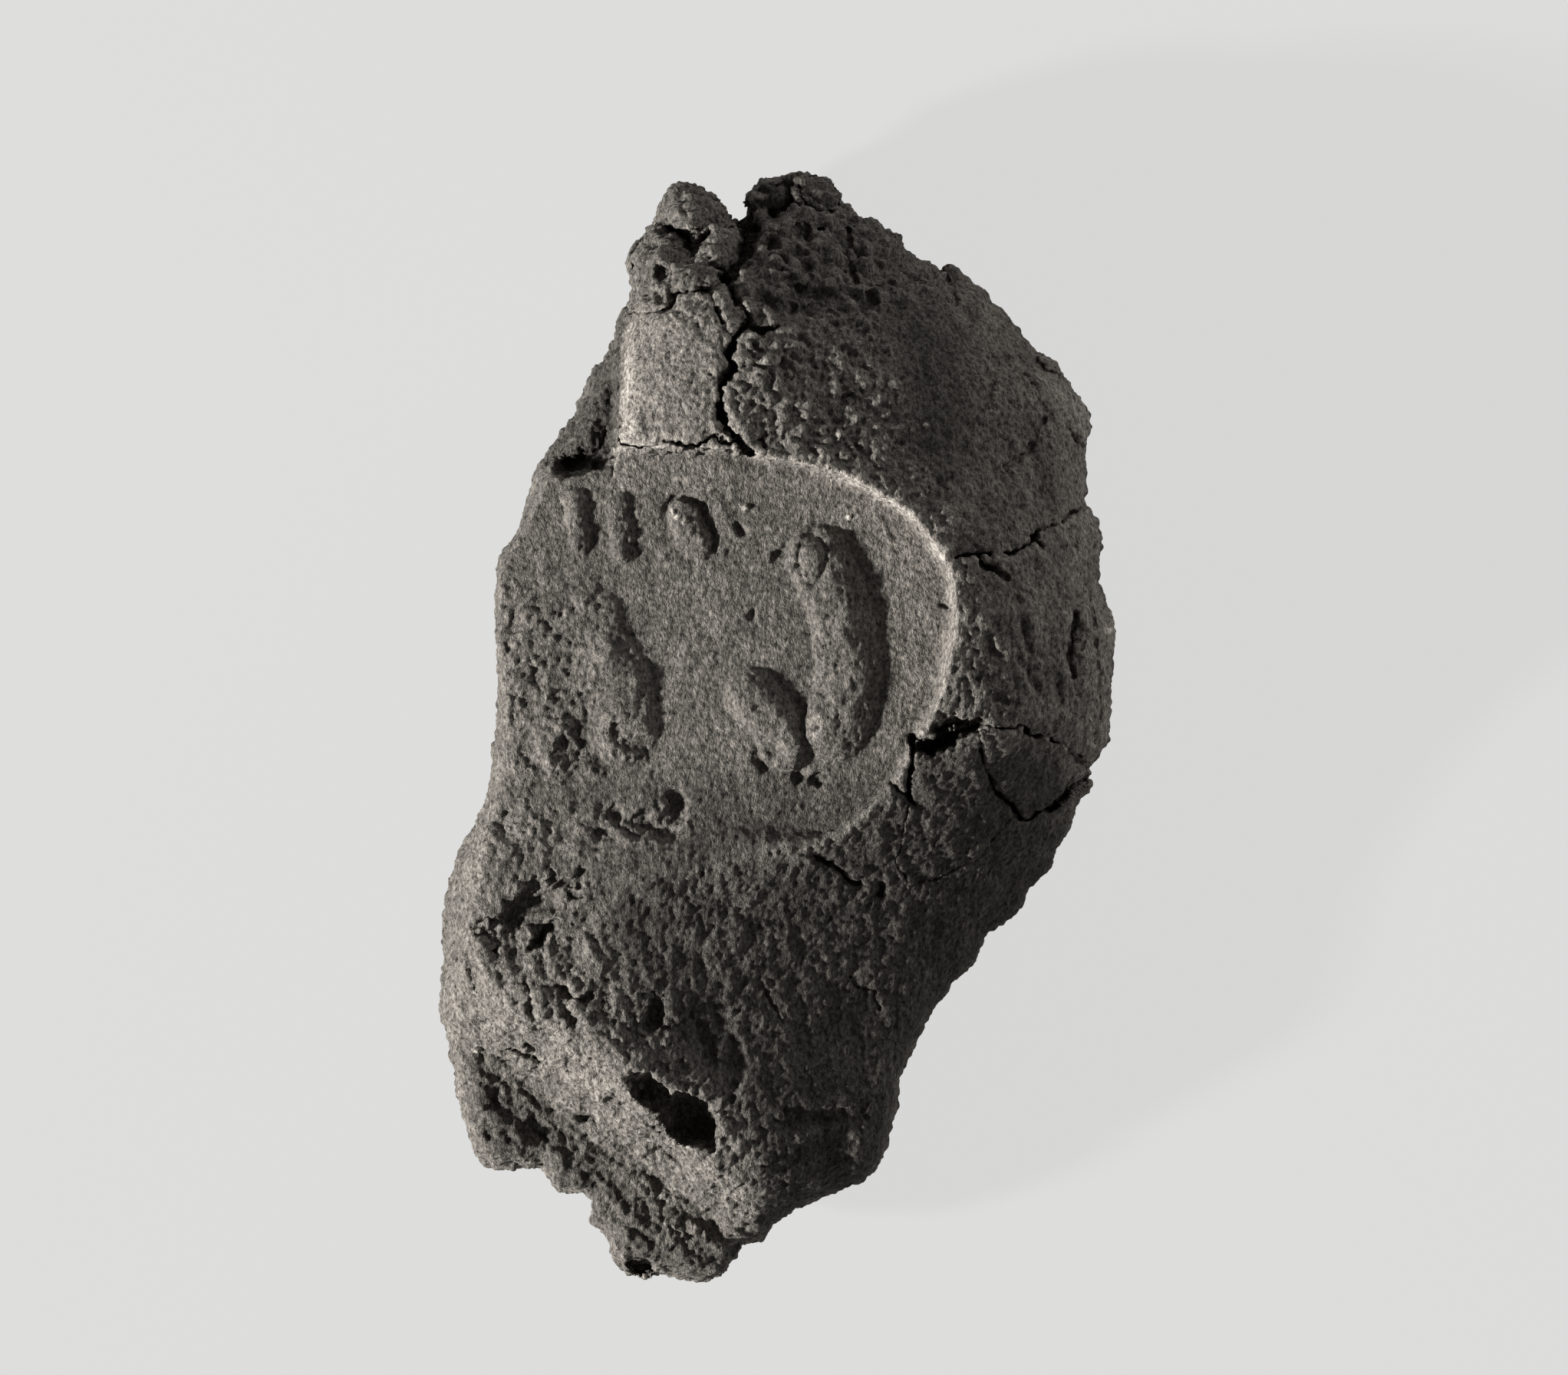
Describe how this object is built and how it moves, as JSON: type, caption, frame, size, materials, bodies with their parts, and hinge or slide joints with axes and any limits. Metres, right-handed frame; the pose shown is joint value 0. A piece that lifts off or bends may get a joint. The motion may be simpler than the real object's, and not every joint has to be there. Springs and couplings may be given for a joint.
{
  "type": "clay bulla",
  "caption": "Lump of fired clay with an oval stamped seal field, a rope impression across its lower end, a cleft top, and cracked fragments seated in their sockets.",
  "frame": {"origin": "centre of the bounding box in plan, on the flat back that the lump rests on", "axes": "+Z out of the stamped face, +Y along the length towards the cleft end, +X towards the full shoulder"},
  "size_m": [0.0302, 0.0498, 0.0173],
  "materials": {
    "fired_clay": "matt, coarse and crumbly, with fine sand grain"
  },
  "bodies": {
    "root": {"clay_body": "fired_clay", "knob_tip": "fired_clay", "knob_base": "fired_clay", "upper_left_plate": "fired_clay", "fork_chip": "fired_clay", "shoulder_plate": "fired_clay", "lower_right_plate": "fired_clay", "top_nodule": "fired_clay"}
  },
  "joints": []
}
